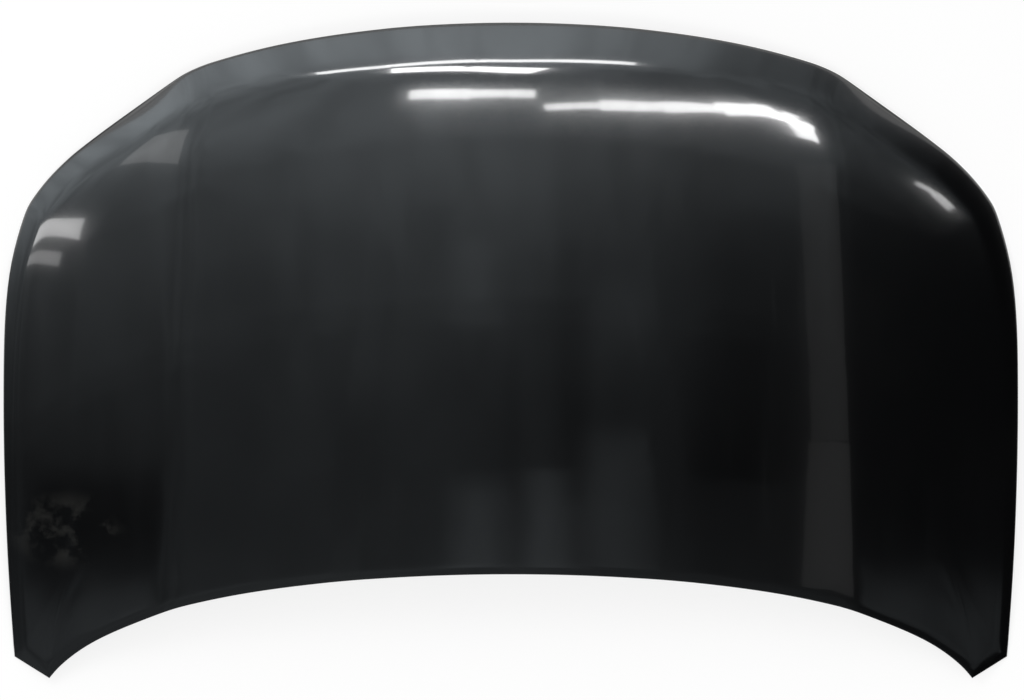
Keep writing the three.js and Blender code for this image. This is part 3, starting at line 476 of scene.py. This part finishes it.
# %% [markdown]
# ## Nuts and bolts
# A hexagon is milled from a bar and its corners are coned off on the lathe, which leaves the curved
# lines that a nut is known by. The same two steps work here: a hexagonal prism is intersected with
# a turned blank. The thread is a real helix: the Screw modifier winds a small triangle up the axis.


# %% Helpers for turned pieces
def bar(name, sides, radius, height, base=0.0, turn=0.0):
    """An upright bar that stands on a height."""
    bpy.ops.mesh.primitive_cylinder_add(vertices=sides, radius=radius, depth=height,
                                        location=(0, 0, base + height / 2), rotation=(0, 0, turn))
    piece = bpy.context.active_object
    piece.name = name
    place_in_mesh(piece)
    return piece


def cone_off(piece, radius, end, width, shift):
    """Cones one end of a bar: its end face shrinks by a width, and its rim moves along the axis."""
    edit(piece, "FACE")
    choose(piece, "polygons", lambda face: abs(face.normal.z) > 0.9 and abs(face.center.z - end) < 0.01 * MM)
    bpy.ops.mesh.inset(thickness=width)
    edit(piece, "VERT")
    choose(piece, "vertices", lambda v: v.co.xy.length > radius - width / 2 and abs(v.co.z - end) < 0.01 * MM)
    bpy.ops.transform.translate(value=(0, 0, shift))
    leave_edit()


def combine(piece, other, operation):
    """Cuts, intersects or unites a piece with another one, which is used up."""
    apply_modifier(piece, "BOOLEAN", operation=operation, solver="EXACT", object=other)
    bpy.data.objects.remove(other)


def join(piece, *others):
    only(piece)
    for other in others:
        other.select_set(True)
    bpy.ops.object.join()
    return piece


def foot(node):
    """The middle of the lowest face of a solid's box."""
    low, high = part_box(node)
    return ((low.x + high.x) / 2, (low.y + high.y) / 2, low.z)


def copied_to(template, name, place):
    """A copy with a mesh of its own, moved to its place."""
    only(template)
    bpy.ops.object.duplicate(linked=False)
    piece = bpy.context.active_object
    piece.name = name
    piece.location = place
    place_in_mesh(piece)
    return piece


# %% Thread
PITCH = 1.25 * MM
THREAD_SIDE = 1.15 * MM
THREAD_STEPS = 28


def thread(name, radius, start, turns, inward):
    """A helical ridge of triangular section; radius is that of its crest."""
    middle_to_crest = THREAD_SIDE / math.sqrt(3)
    out = -1 if inward else 1
    quarter = math.pi / 2
    bpy.ops.mesh.primitive_circle_add(vertices=3, radius=middle_to_crest,
                                      rotation=(quarter, out * quarter, 0),
                                      location=(radius - out * middle_to_crest, 0, start))
    ridge = bpy.context.active_object
    ridge.name = name
    place_in_mesh(ridge)
    apply_modifier(ridge, "SCREW", axis="Z", angle=math.tau, screw_offset=PITCH, iterations=turns,
                   steps=THREAD_STEPS, render_steps=THREAD_STEPS, use_smooth_shade=False)
    edit(ridge)
    bpy.ops.mesh.select_all(action="SELECT")
    bpy.ops.mesh.fill_holes(sides=3)
    bpy.ops.mesh.normals_make_consistent(inside=False)
    leave_edit()
    return ridge


# %% Weld nuts
ACROSS_FLATS = 13 * MM
CORNER_RADIUS = ACROSS_FLATS / math.sqrt(3)
NUT_HEIGHT = 6.5 * MM
NUT_BORE = 8.6 * MM
CONE_WIDTH = 1.2 * MM
CONE_DROP = 0.7 * MM
NUT_CREST_RADIUS = 3.4 * MM
NUT_THREAD_START = 0.75 * MM
TURNED_SIDES = 48
EDGE_BREAK = 0.12 * MM


def break_edges(piece):
    """Takes the sharpness off the edges of a turned piece."""
    apply_modifier(piece, "BEVEL", width=EDGE_BREAK, segments=2, limit_method="ANGLE",
                   angle_limit=math.radians(25))


def hexagon_turned(name, height, base, both_ends):
    """A hexagonal bar with its corners coned off below, or at both ends."""
    piece = bar(name, 6, CORNER_RADIUS, height, base, math.radians(30))
    blank_radius = CORNER_RADIUS + 0.2 * MM
    blank = bar("blank", TURNED_SIDES, blank_radius, height, base)
    cone_off(blank, blank_radius, base, CONE_WIDTH, CONE_DROP)
    if both_ends:
        cone_off(blank, blank_radius, base + height, CONE_WIDTH, -CONE_DROP)
    combine(piece, blank, "INTERSECT")
    return piece


nut = hexagon_turned("weld_nut", NUT_HEIGHT, 0.0, both_ends=True)
combine(nut, bar("bore", TURNED_SIDES, NUT_BORE / 2, 3 * NUT_HEIGHT, -NUT_HEIGHT), "DIFFERENCE")
break_edges(nut)
join(nut, thread("nut_thread", NUT_CREST_RADIUS, NUT_THREAD_START, 4, inward=True))
only(nut)
bpy.ops.object.shade_smooth_by_angle(angle=math.radians(30))
print("Weld nut:", len(nut.data.polygons), "faces, spans", [round(v / MM, 2) for v in nut.dimensions], "mm")
for node in [n for n in nodes if "_nut_" in n]:
    finish_piece(copied_to(nut, node + "_threaded", foot(node)), frame_primer, "black_primer", node)
bpy.data.objects.remove(nut)

# %% Striker bolts
HEAD_HEIGHT = 5.3 * MM
SHANK_LENGTH = 14.9 * MM
BOLT_RADIUS = 4 * MM
CORE_RADIUS = BOLT_RADIUS - 0.7 * MM
DISH_RADIUS = 4.2 * MM
DISH_HALF = 0.5 * MM

bolt = hexagon_turned("striker_bolt", HEAD_HEIGHT, 0.0, both_ends=False)
dish = bar("dish", TURNED_SIDES, DISH_RADIUS, 2 * DISH_HALF, -DISH_HALF)
cone_off(dish, DISH_RADIUS, DISH_HALF, 0.8 * MM, -0.4 * MM)
combine(bolt, dish, "DIFFERENCE")
break_edges(bolt)
collar = bar("collar", TURNED_SIDES, 0.48 * ACROSS_FLATS, 0.5 * MM, HEAD_HEIGHT - 0.2 * MM)
core = bar("core", TURNED_SIDES, CORE_RADIUS, SHANK_LENGTH + 1 * MM, HEAD_HEIGHT - 1 * MM)
cone_off(core, CORE_RADIUS, HEAD_HEIGHT + SHANK_LENGTH, 0.6 * MM, -0.6 * MM)
join(bolt, collar, core, thread("bolt_thread", BOLT_RADIUS, HEAD_HEIGHT + 1.2 * MM, 10, inward=False))
only(bolt)
bpy.ops.object.shade_smooth_by_angle(angle=math.radians(30))
print("Striker bolt:", len(bolt.data.polygons), "faces, spans",
      [round(v / MM, 2) for v in bolt.dimensions], "mm")
for node in striker_bolts:
    finish_piece(copied_to(bolt, node + "_threaded", foot(node)), zinc_plating, "zinc_plate", node)
bpy.data.objects.remove(bolt)

# %% [markdown]
# ## The striker loop
# The lock grips a rod bent to a U, whose ends are welded to the striker plate. A bender makes it in
# one go: straight, bend, straight, bend, straight. Extrude and Spin repeat those moves on a circle.

# %% Striker loop
ROD_RADIUS = 4 * MM
LOOP_SPAN = 32 * MM
LOOP_BEND = 9 * MM
LOOP_LEG = 23 * MM
ROD_SIDES = 28
BEND_STEPS = 10


def push(shift):
    """Extrudes what is selected along a shift."""
    bpy.ops.mesh.extrude_region()
    bpy.ops.transform.translate(value=shift)


def bend_round(x):
    """Bends what is selected by a right angle, round an axis along Y at the foot of the legs."""
    bpy.ops.mesh.spin(steps=BEND_STEPS, angle=math.pi / 2, center=(x, 0, -LOOP_LEG), axis=(0, 1, 0))


bpy.ops.mesh.primitive_circle_add(vertices=ROD_SIDES, radius=ROD_RADIUS, location=(-LOOP_SPAN / 2, 0, 0))
loop = bpy.context.active_object
loop.name = "striker_loop_bent"
place_in_mesh(loop)
edit(loop)
bpy.ops.mesh.select_all(action="SELECT")
push((0, 0, -LOOP_LEG))
bend_round(-LOOP_SPAN / 2 + LOOP_BEND)
push((LOOP_SPAN - 2 * LOOP_BEND, 0, 0))
bend_round(LOOP_SPAN / 2 - LOOP_BEND)
push((0, 0, LOOP_LEG))
bpy.ops.mesh.select_all(action="SELECT")
bpy.ops.mesh.remove_doubles(threshold=0.01 * MM)
bpy.ops.mesh.fill_holes(sides=ROD_SIDES)
bpy.ops.mesh.normals_make_consistent(inside=False)
leave_edit()

# %% Weld beads round its ends
BEAD_RADIUS = 1.5 * MM
BEAD_OFFSET = 0.3 * MM
BEAD_WOBBLE = 0.25 * MM
beads = []
for k, side in enumerate((-1, 1)):
    bpy.ops.mesh.primitive_torus_add(location=(side * LOOP_SPAN / 2, 0, -BEAD_OFFSET),
                                     major_radius=ROD_RADIUS + BEAD_OFFSET, minor_radius=BEAD_RADIUS,
                                     major_segments=40, minor_segments=12)
    bead = bpy.context.active_object
    place_in_mesh(bead)
    edit(bead)
    bpy.ops.mesh.select_all(action="SELECT")
    bpy.ops.transform.vertex_random(offset=BEAD_WOBBLE, seed=11 + k)
    bpy.ops.mesh.vertices_smooth(factor=0.5, repeat=2)
    leave_edit()
    beads.append(bead)
join(loop, *beads)
only(loop)
bpy.ops.object.shade_smooth_by_angle(angle=math.radians(40))
low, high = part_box("striker_loop")
loop.location = ((low.x + high.x) / 2, (low.y + high.y) / 2, high.z)
place_in_mesh(loop)
finish_piece(loop, zinc_plating, "zinc_plate", "striker_loop")
print("Loop spans", [round(v / MM, 2) for v in loop.dimensions], "mm; the solid spans", (high - low) / MM)

# %% [markdown]
# ## Mastic pads
# Drops of mastic between frame and skin swell in the paint oven and stop the skin from drumming.
# Each is a squeezed blob: flat where it meets the sheets, rounded and uneven at its rim. A low bar
# has its rim pressed thinner, gets its own small random shifts, and is tilted to the sheet.

# %% Mastic pads
PAD_RADIUS = 12.6 * MM
PAD_THICKNESS = 2.9 * MM
PAD_WOBBLE = 1.1 * MM


def mastic_blob(seed):
    blob = bar("mastic_blob", 28, PAD_RADIUS, PAD_THICKNESS, -PAD_THICKNESS / 2)
    edit(blob, "FACE")
    choose(blob, "polygons", lambda face: abs(face.normal.z) > 0.9)
    bpy.ops.mesh.inset(thickness=1.3 * MM)
    bpy.ops.mesh.inset(thickness=5 * MM)
    bpy.ops.mesh.poke()
    edit(blob, "VERT")
    choose(blob, "vertices", lambda v: v.co.xy.length > PAD_RADIUS - 0.1 * MM)
    bpy.ops.transform.resize(value=(1, 1, 0.5))
    bpy.ops.mesh.select_all(action="SELECT")
    bpy.ops.transform.vertex_random(offset=PAD_WOBBLE, seed=seed)
    bpy.ops.mesh.vertices_smooth(factor=0.5, repeat=2, zaxis=False)
    bpy.ops.transform.resize(value=(1, 1, 0.8))
    leave_edit()
    smooth_sheet(blob, 1)
    return blob


pads = sorted(n for n in nodes if n.startswith("mastic_pad"))
for k, node in enumerate(pads):
    blob = mastic_blob(seed=100 + k)
    blob.name = node + "_squeezed"
    centre = middle(node)
    _, _, normal, _ = skin.ray_cast((centre.x, centre.y, 1.0), (0, 0, -1))
    blob.rotation_euler = normal.to_track_quat("Z", "Y").to_euler()
    blob.location = centre
    place_in_mesh(blob)
    finish_piece(blob, mastic_rubber, "mastic", node)
print(len(pads), "mastic pads of", len(blob.data.polygons), "faces; the last spans",
      [round(v / MM, 1) for v in blob.dimensions], "mm")

# %% [markdown]
# ## The camera
# The photo looks straight down from far away, so a long lens high above the panel repeats it. Its
# focal length follows from the width that the picture takes in.

# %% Camera
PHOTO_WIDTH, PHOTO_HEIGHT = 1024, 700
PIXEL = 1.478 * MM
PHOTO_MIDDLE = Vector((510.8, 350.5))
SENSOR_WIDTH = 36.0
CAMERA_HEIGHT = 16.0
OUTLINE_HEIGHT = 0.01


def over_photo(px, py):
    """The place in metres that a pixel of the photo looks down on."""
    return Vector(((px - PHOTO_MIDDLE.x) * PIXEL, (PHOTO_MIDDLE.y - py) * PIXEL))


view_centre = over_photo(PHOTO_WIDTH / 2, PHOTO_HEIGHT / 2)
camera_data = bpy.data.cameras.new("camera")
camera_data.sensor_width = SENSOR_WIDTH
camera_data.lens = SENSOR_WIDTH * (CAMERA_HEIGHT - OUTLINE_HEIGHT) / (PHOTO_WIDTH * PIXEL)
camera = bpy.data.objects.new("camera", camera_data)
camera.location = (view_centre.x, view_centre.y, CAMERA_HEIGHT)
bpy.context.scene.collection.objects.link(camera)
bpy.context.scene.camera = camera
bpy.context.scene.view_settings.view_transform = "Standard"
print("Lens", round(camera_data.lens, 1), "mm")

# %% [markdown]
# ## The floor
# The panel lies on a white floor. White paper photographed by itself turns grey, so the floor also
# glows a little: it reads as white, and still darkens where the panel shades it. Seen from below
# it lets the eye through, which makes the underside open to view. There the frame mirrors nothing
# but floor, and a mirror of plain white shows no form. So glossy rays find broad soft bands in it.

# %% Floor
FLOOR_SIZE = 30.0
FLOOR_GLOW = 0.75
FLOOR_PAPER = (0.30, 0.30, 0.30)
BAND_LENGTH = 0.33
BAND_SLANT = 0.22
BAND_RANGE = (0.12, 1.25)

bpy.ops.mesh.primitive_plane_add(size=FLOOR_SIZE, location=(0, 0, 0))
floor = bpy.context.active_object
floor.name = "floor"
paper = bpy.data.materials.new("floor_paper")
paper.use_nodes = True
tree = paper.node_tree
tree.nodes.remove(tree.nodes["Principled BSDF"])
matt = tree.nodes.new("ShaderNodeBsdfDiffuse")
matt.inputs["Color"].default_value = (*FLOOR_PAPER, 1.0)
glow = tree.nodes.new("ShaderNodeEmission")
spot = tree.nodes.new("ShaderNodeSeparateXYZ")
tree.links.new(tree.nodes.new("ShaderNodeTexCoord").outputs["Object"], spot.inputs[0])
slant = maths(tree, "ADD", spot.outputs["Y"], maths(tree, "MULTIPLY", spot.outputs["X"], BAND_SLANT))
wave = maths(tree, "SINE", maths(tree, "MULTIPLY", slant, math.tau / BAND_LENGTH))
bands = ramp(tree, wave, -1.0, 1.0, *BAND_RANGE)
seen_in_gloss = tree.nodes.new("ShaderNodeLightPath").outputs["Is Glossy Ray"]
change = maths(tree, "MULTIPLY", seen_in_gloss, maths(tree, "SUBTRACT", bands, FLOOR_GLOW))
tree.links.new(maths(tree, "ADD", change, FLOOR_GLOW), glow.inputs["Strength"])
lit = tree.nodes.new("ShaderNodeAddShader")
tree.links.new(matt.outputs[0], lit.inputs[0])
tree.links.new(glow.outputs[0], lit.inputs[1])
clear = tree.nodes.new("ShaderNodeBsdfTransparent")
side = tree.nodes.new("ShaderNodeMixShader")
tree.links.new(tree.nodes.new("ShaderNodeNewGeometry").outputs["Backfacing"], side.inputs[0])
tree.links.new(lit.outputs[0], side.inputs[1])
tree.links.new(clear.outputs[0], side.inputs[2])
tree.links.new(side.outputs[0], tree.nodes["Material Output"].inputs["Surface"])
floor.data.materials.append(paper)

# %% [markdown]
# ## The room that the panel mirrors
# A glossy black panel shows its room. In the photo the room is bright in front of the nose and to
# the left, and dark above and to the right. The world plays that room for glossy rays, stays white
# for the camera, and gives even light to everything else.

# %% What the camera sees mirrored
def mirrored_at(px, py):
    """The skin's place at a pixel of the photo, and the direction seen mirrored there.

    The pixel has to lie on the panel."""
    x, y = over_photo(px, py)
    _, place, normal, _ = skin.ray_cast((x, y, 1.0), (0, 0, -1))
    sight = (place - camera.location).normalized()
    return place, sight - 2 * sight.dot(normal) * normal


# %% World
# A direction's brightness is a number by its Y times one by its X, plus one more by its X. Each
# list pairs the direction's part along that axis with the number there, which is at most ROOM_TOP
ROOM_TOP = 2.0
ROOM_FRONT = [(-1.0, 0.10), (-0.35, 0.19), (-0.2, 0.06), (-0.1, 0.05), (0.0, 0.08), (0.1, 0.17), (0.2, 0.27),
              (0.3, 0.56), (0.4, 0.88), (0.5, 0.87), (0.65, 0.88), (1.0, 1.85)]
ROOM_SIDE = [(-1.0, 1.19), (-0.6, 1.38), (-0.35, 0.83), (-0.15, 0.89), (0.0, 1.0), (0.15, 0.60), (0.3, 0.24),
             (0.42, 0.16), (0.55, 0.03), (1.0, 0.0)]
ROOM_LEFT = [(-1.0, 0.0), (-0.5, 0.0), (-0.2, 0.11), (0.0, 0.02), (0.5, 0.0), (1.0, 0.0)]
ROOM_TINT = (0.91, 1.0, 1.06)
EVEN_LIGHT = 0.62

# Roof lights and dark beams: left, top, right and bottom pixel of their mirror image, their
# brightness, and how softly they fade
ROOM_PANES = [
    (453, 482, 500, 566, 0.20, 0.018), (523, 470, 560, 566, 0.22, 0.016), (590, 436, 642, 566, 0.17, 0.022),
    (460, 240, 497, 330, 0.19, 0.018), (418, 90, 452, 205, 0.13, 0.008), (600, 290, 640, 350, 0.07, 0.018),
    (556, 245, 584, 500, -0.06, 0.012), (503, 340, 519, 500, -0.04, 0.012),
    (700, 212, 790, 480, -0.04, 0.014),
    (745, 79, 905, 185, 0.24, 0.08), (35, 470, 163, 600, -0.07, 0.025),
    (890, 592, 1000, 645, 0.13, 0.03), (25, 595, 128, 638, 0.10, 0.02),
]
CLUTTER_SCALE = (26.0, 6.0, 1.0)
CLUTTER_RANGE = (0.78, 1.22)


def curve(tree, value, points):
    """A number led through a list of points, as a colour ramp of greys."""
    spread = tree.nodes.new("ShaderNodeMapRange")
    spread.inputs["From Min"].default_value = -1.0
    tree.links.new(value, spread.inputs["Value"])
    node = tree.nodes.new("ShaderNodeValToRGB")
    node.color_ramp.interpolation = "B_SPLINE"
    stops = node.color_ramp.elements
    while len(stops) > 1:
        stops.remove(stops[-1])
    for k, (at, grey) in enumerate(points):
        stop = stops[0] if k == 0 else stops.new((at + 1) / 2)
        stop.position = (at + 1) / 2
        stop.color = (grey / ROOM_TOP, grey / ROOM_TOP, grey / ROOM_TOP, 1.0)
    tree.links.new(spread.outputs["Result"], node.inputs["Fac"])
    return maths(tree, "MULTIPLY", node.outputs["Color"], ROOM_TOP)


def pane(tree, axes, left, top, right, bottom, brightness, softness):
    """A soft-edged rectangle of brightness in the room, placed by its mirror image in the photo."""
    across, down = (left + right) / 2, (top + bottom) / 2
    spans = (("X", [mirrored_at(px, down)[1].x for px in (left, right)]),
             ("Y", [mirrored_at(across, py)[1].y for py in (bottom, top)]))
    shape = brightness
    for axis, (low, high) in spans:
        rise = ramp(tree, axes.outputs[axis], low - softness, low + softness)
        fall = ramp(tree, axes.outputs[axis], high - softness, high + softness, 1.0, 0.0)
        shape = maths(tree, "MULTIPLY", maths(tree, "MULTIPLY", rise, fall), shape)
    return shape


def room():
    """Builds the world: a room for glossy rays, white for the camera, even light for the rest."""
    world = bpy.data.worlds.new("studio")
    bpy.context.scene.world = world
    world.use_nodes = True
    world.cycles.sampling_method = "NONE"
    tree = world.node_tree
    axes = tree.nodes.new("ShaderNodeSeparateXYZ")
    direction = tree.nodes.new("ShaderNodeTexCoord").outputs["Generated"]
    tree.links.new(direction, axes.inputs[0])
    front = curve(tree, axes.outputs["Y"], ROOM_FRONT)
    across = curve(tree, axes.outputs["X"], ROOM_SIDE)
    left = curve(tree, axes.outputs["X"], ROOM_LEFT)
    mirrored = maths(tree, "ADD", maths(tree, "MULTIPLY", front, across), left)
    for values in ROOM_PANES:
        mirrored = maths(tree, "ADD", mirrored, pane(tree, axes, *values))
    stretch = tree.nodes.new("ShaderNodeMapping")
    stretch.inputs["Scale"].default_value = CLUTTER_SCALE
    tree.links.new(direction, stretch.inputs["Vector"])
    lumps = noise(tree, stretch.outputs["Vector"], 1.0, detail=5.0, roughness=0.55)
    clutter = ramp(tree, lumps, 0.3, 0.7, *CLUTTER_RANGE)
    mirrored = maths(tree, "MULTIPLY", maths(tree, "MAXIMUM", mirrored, 0.0), clutter)
    path = tree.nodes.new("ShaderNodeLightPath")
    glossy = maths(tree, "MAXIMUM", path.outputs["Is Glossy Ray"], path.outputs["Is Transmission Ray"])
    matt = maths(tree, "SUBTRACT", 1.0, maths(tree, "MAXIMUM", glossy, path.outputs["Is Camera Ray"]))
    total = maths(tree, "ADD", maths(tree, "MULTIPLY", glossy, mirrored), path.outputs["Is Camera Ray"])
    total = maths(tree, "ADD", total, maths(tree, "MULTIPLY", matt, EVEN_LIGHT))
    background = tree.nodes["Background"]
    tree.links.new(colour_mix(tree, glossy, (1.0, 1.0, 1.0), ROOM_TINT), background.inputs["Color"])
    tree.links.new(total, background.inputs["Strength"])


room()

# %% [markdown]
# ## Lamps
# Two big soft lamps light the panel and cast its shadow. They would show in the gloss as bright
# squares, so glossy rays don't see them. What does show are strips and windows, which light nothing
# else: each hangs at the spot that the camera sees mirrored at a chosen place of the panel. Hung
# close, they stay small when the panel is seen from another side.


# %% Soft lamps
def area_lamp(name, place, target, size, strength, in_gloss, along=None):
    """A rectangular lamp that faces a target; strength is its brightness, where paper white is 1."""
    data = bpy.data.lights.new(name, "AREA")
    data.shape = "RECTANGLE"
    data.size, data.size_y = size
    data.energy = strength * math.pi * size[0] * size[1]
    lamp = bpy.data.objects.new(name, data)
    bpy.context.scene.collection.objects.link(lamp)
    back = (Vector(place) - Vector(target)).normalized()
    run = Vector(along) if along else Vector((0, 0, 1)).cross(back)
    run = (run - back * run.dot(back)).normalized()
    lamp.matrix_world = Matrix((run, back.cross(run), back)).transposed().to_4x4()
    lamp.location = place
    lamp.visible_glossy = in_gloss
    lamp.visible_diffuse = not in_gloss
    lamp.visible_camera = False
    return lamp


area_lamp("front_left_softbox", (-1.9, 1.6, 3.0), (0, 0, 0), (2.0, 1.6), 2.6, in_gloss=False)
area_lamp("rear_softbox", (0.8, -2.2, 3.2), (0, 0, 0), (2.4, 1.4), 1.8, in_gloss=False)


# %% Strips and windows in the gloss
TUBE_DISTANCE = 1.4
NEAR_DISTANCE = 0.6
STRIP_DISTANCE = 0.5


def mirrored_spot(pixel, distance):
    """The spot, some way off, that shows at a pixel of the photo."""
    place, sight = mirrored_at(*pixel)
    return place + sight * distance


def tube(name, pixels, width, strength, distance=TUBE_DISTANCE):
    """Straight lamps end to end, whose mirror image runs through some pixels; width is in pixels."""
    for k, (start, end) in enumerate(zip(pixels, pixels[1:])):
        start, end = Vector(start), Vector(end)
        half = (end - start).orthogonal().normalized() * width / 2
        centre = (start + end) / 2
        first, last = mirrored_spot(start, distance), mirrored_spot(end, distance)
        thickness = (mirrored_spot(centre + half, distance) - mirrored_spot(centre - half, distance)).length
        size = ((last - first).length, thickness)
        place, sight = mirrored_at(*centre)
        area_lamp(f"{name}_{k + 1}", (first + last) / 2, place, size, strength, True, along=last - first)
        print(f"{name}_{k + 1}", "is", round(size[0], 3), "x", round(size[1], 3), "m")


tube("crest", [(315, 75), (390, 67), (480, 61), (560, 62), (635, 66)], 2.2, 11.5, NEAR_DISTANCE)
tube("upper_bar", [(392, 71), (465, 69), (540, 72)], 5, 18, NEAR_DISTANCE)
tube("middle_bar", [(410, 96), (470, 94), (535, 95)], 9, 18)
tube("lower_bar", [(545, 108), (600, 107), (660, 107), (720, 109), (757, 111), (778, 114), (795, 120),
                   (806, 129), (814, 141)], 9, 17)
tube("right_glint", [(915, 182), (934, 193), (952, 208)], 6, 7)
tube("right_strip", [(822, 165), (836, 440)], 32, 0.12, STRIP_DISTANCE)
tube("right_strip_low", [(836, 440), (839, 592)], 32, 0.15, STRIP_DISTANCE)
tube("left_window", [(38, 235), (83, 232)], 21, 5.5, NEAR_DISTANCE)
tube("left_window_sill", [(28, 262), (62, 260)], 13, 2.4, NEAR_DISTANCE)
tube("left_pane", [(176, 132), (152, 162)], 24, 1.0, NEAR_DISTANCE)
